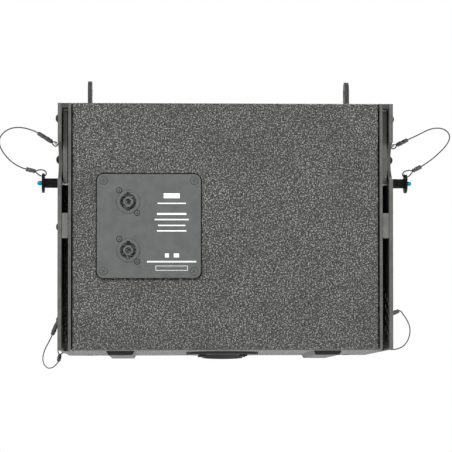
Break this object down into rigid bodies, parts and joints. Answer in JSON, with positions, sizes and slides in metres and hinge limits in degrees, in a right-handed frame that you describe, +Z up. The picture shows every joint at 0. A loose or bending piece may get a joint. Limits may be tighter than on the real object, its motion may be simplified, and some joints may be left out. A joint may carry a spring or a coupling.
{
  "type": "line array speaker",
  "caption": "Compact wedge-shaped passive loudspeaker cabinet with side rigging, quick release pins on lanyards, top lugs, a rear input plate and a pole socket below.",
  "frame": {"origin": "centre of the mouth of the pole socket in the underside", "axes": "+X to the right seen from behind, +Y forward (the way it fires), +Z up, out of the closed end of the pole socket"},
  "size_m": [0.4859, 0.2461, 0.3389],
  "materials": {
    "painted_cabinet": "coarse textured two-part coating on birch plywood",
    "bare_plywood": "sanded birch plywood",
    "absorber_foam": "open-cell absorber",
    "grille_cloth_foam": "thin open-cell foam",
    "rigging_steel": "grey powder coat, satin",
    "link_steel": "light grey powder coat, satin",
    "black_nylon": "moulded",
    "black_screws": "black zinc",
    "zinc_bolts": "zinc plated",
    "input_plate_paint": "flat grey enamel",
    "gasket_rubber": "foam rubber",
    "socket_plastic": "moulded glass-filled nylon",
    "core_plastic": "moulded",
    "circuit_board": "solder mask",
    "copper_and_parts": "coils, capacitors and resistors",
    "loom_plastic": "PVC insulation",
    "cast_basket": "die cast, black",
    "magnet_steel": "black zinc",
    "cone_paper": "treated paper",
    "coil_copper": "enamelled wire",
    "surround_cloth": "doped cloth",
    "spider_cloth": "phenolic cloth",
    "horn_plastic": "moulded",
    "grille_steel": "perforated, powder coated",
    "skid_plastic": "moulded",
    "pole_socket_metal": "cast, black",
    "pin_black": "black anodised handle and flange, steel shank",
    "button_blue": "anodised blue",
    "lanyard_wire": "plastic coated wire rope"
  },
  "bodies": {
    "cabinet": {"rear_panel": "painted_cabinet", "top_panel": "painted_cabinet", "bottom_panel": "painted_cabinet", "side_panel_left": "painted_cabinet", "side_panel_right": "painted_cabinet", "rear_side_left": "painted_cabinet", "rear_side_right": "painted_cabinet", "baffle": "bare_plywood", "brace": "bare_plywood", "damping_foam": "absorber_foam", "inner_plate_left": "rigging_steel", "inner_plate_right": "rigging_steel", "outer_plate_left": "rigging_steel", "outer_plate_right": "rigging_steel", "spacer_blocks": "link_steel", "top_guides": "black_nylon", "plate_bolts": "black_screws", "front_channel_left": "rigging_steel", "front_channel_right": "rigging_steel", "front_lug_left": "rigging_steel", "front_lug_right": "rigging_steel", "lug_bolts": "zinc_bolts", "connector_plate": "input_plate_paint", "connector_gasket": "gasket_rubber", "connector_screws": "black_screws", "socket_upper": "socket_plastic", "socket_lower": "socket_plastic", "socket_cores": "core_plastic", "crossover_board": "circuit_board", "crossover_parts": "copper_and_parts", "wiring_loom": "loom_plastic", "woofer_basket": "cast_basket", "woofer_magnet": "magnet_steel", "surround": "surround_cloth", "spider": "spider_cloth", "hf_unit": "horn_plastic", "driver_screws": "black_screws", "grille": "grille_steel", "grille_foam": "grille_cloth_foam", "grille_screws": "black_screws", "skids": "skid_plastic", "pole_socket": "pole_socket_metal", "underside_screws": "black_screws", "lanyard_anchors": "black_screws", "lanyard_upper_left": "lanyard_wire", "lanyard_upper_right": "lanyard_wire", "lanyard_lower_left": "lanyard_wire", "lanyard_lower_right": "lanyard_wire"},
    "cone_assembly": {"woofer_cone": "cone_paper", "voice_coil": "coil_copper"},
    "link_left": {"link_bar_left": "link_steel"},
    "link_right": {"link_bar_right": "link_steel"},
    "upper_pin_left_body": {"upper_pin_left": "pin_black"},
    "upper_button_left_body": {"upper_button_left": "button_blue"},
    "upper_pin_right_body": {"upper_pin_right": "pin_black"},
    "upper_button_right_body": {"upper_button_right": "button_blue"},
    "lower_pin_left_body": {"lower_pin_left": "pin_black"},
    "lower_button_left_body": {"lower_button_left": "button_blue"},
    "lower_pin_right_body": {"lower_pin_right": "pin_black"},
    "lower_button_right_body": {"lower_button_right": "button_blue"}
  },
  "joints": [
    {"name": "link_left_slide", "type": "slide", "parent": "cabinet", "child": "link_left", "axis": [0, 0, 1], "range_m": [0, 0.045]},
    {"name": "link_right_slide", "type": "slide", "parent": "cabinet", "child": "link_right", "axis": [0, 0, 1], "range_m": [0, 0.045]},
    {"name": "upper_pin_left_pull", "type": "slide", "parent": "cabinet", "child": "upper_pin_left_body", "axis": [-1, 0, 0], "range_m": [0, 0.045], "deforming": ["lanyard_upper_left"]},
    {"name": "upper_button_left_press", "type": "slide", "parent": "upper_pin_left_body", "child": "upper_button_left_body", "axis": [1, 0, 0], "range_m": [0, 0.0025], "stiffness_N_per_m": 800},
    {"name": "upper_pin_right_pull", "type": "slide", "parent": "cabinet", "child": "upper_pin_right_body", "axis": [1, 0, 0], "range_m": [0, 0.045], "deforming": ["lanyard_upper_right"]},
    {"name": "upper_button_right_press", "type": "slide", "parent": "upper_pin_right_body", "child": "upper_button_right_body", "axis": [-1, 0, 0], "range_m": [0, 0.0025], "stiffness_N_per_m": 800},
    {"name": "lower_pin_left_pull", "type": "slide", "parent": "cabinet", "child": "lower_pin_left_body", "axis": [-1, 0, 0], "range_m": [0, 0.045], "deforming": ["lanyard_lower_left"]},
    {"name": "lower_button_left_press", "type": "slide", "parent": "lower_pin_left_body", "child": "lower_button_left_body", "axis": [1, 0, 0], "range_m": [0, 0.0025], "stiffness_N_per_m": 800},
    {"name": "lower_pin_right_pull", "type": "slide", "parent": "cabinet", "child": "lower_pin_right_body", "axis": [1, 0, 0], "range_m": [0, 0.045], "deforming": ["lanyard_lower_right"]},
    {"name": "lower_button_right_press", "type": "slide", "parent": "lower_pin_right_body", "child": "lower_button_right_body", "axis": [-1, 0, 0], "range_m": [0, 0.0025], "stiffness_N_per_m": 800},
    {"name": "cone_excursion", "type": "slide", "parent": "cabinet", "child": "cone_assembly", "axis": [0, 1, 0], "range_m": [-0.004, 0.004], "stiffness_N_per_m": 3000, "deforming": ["surround", "spider"]}
  ]
}
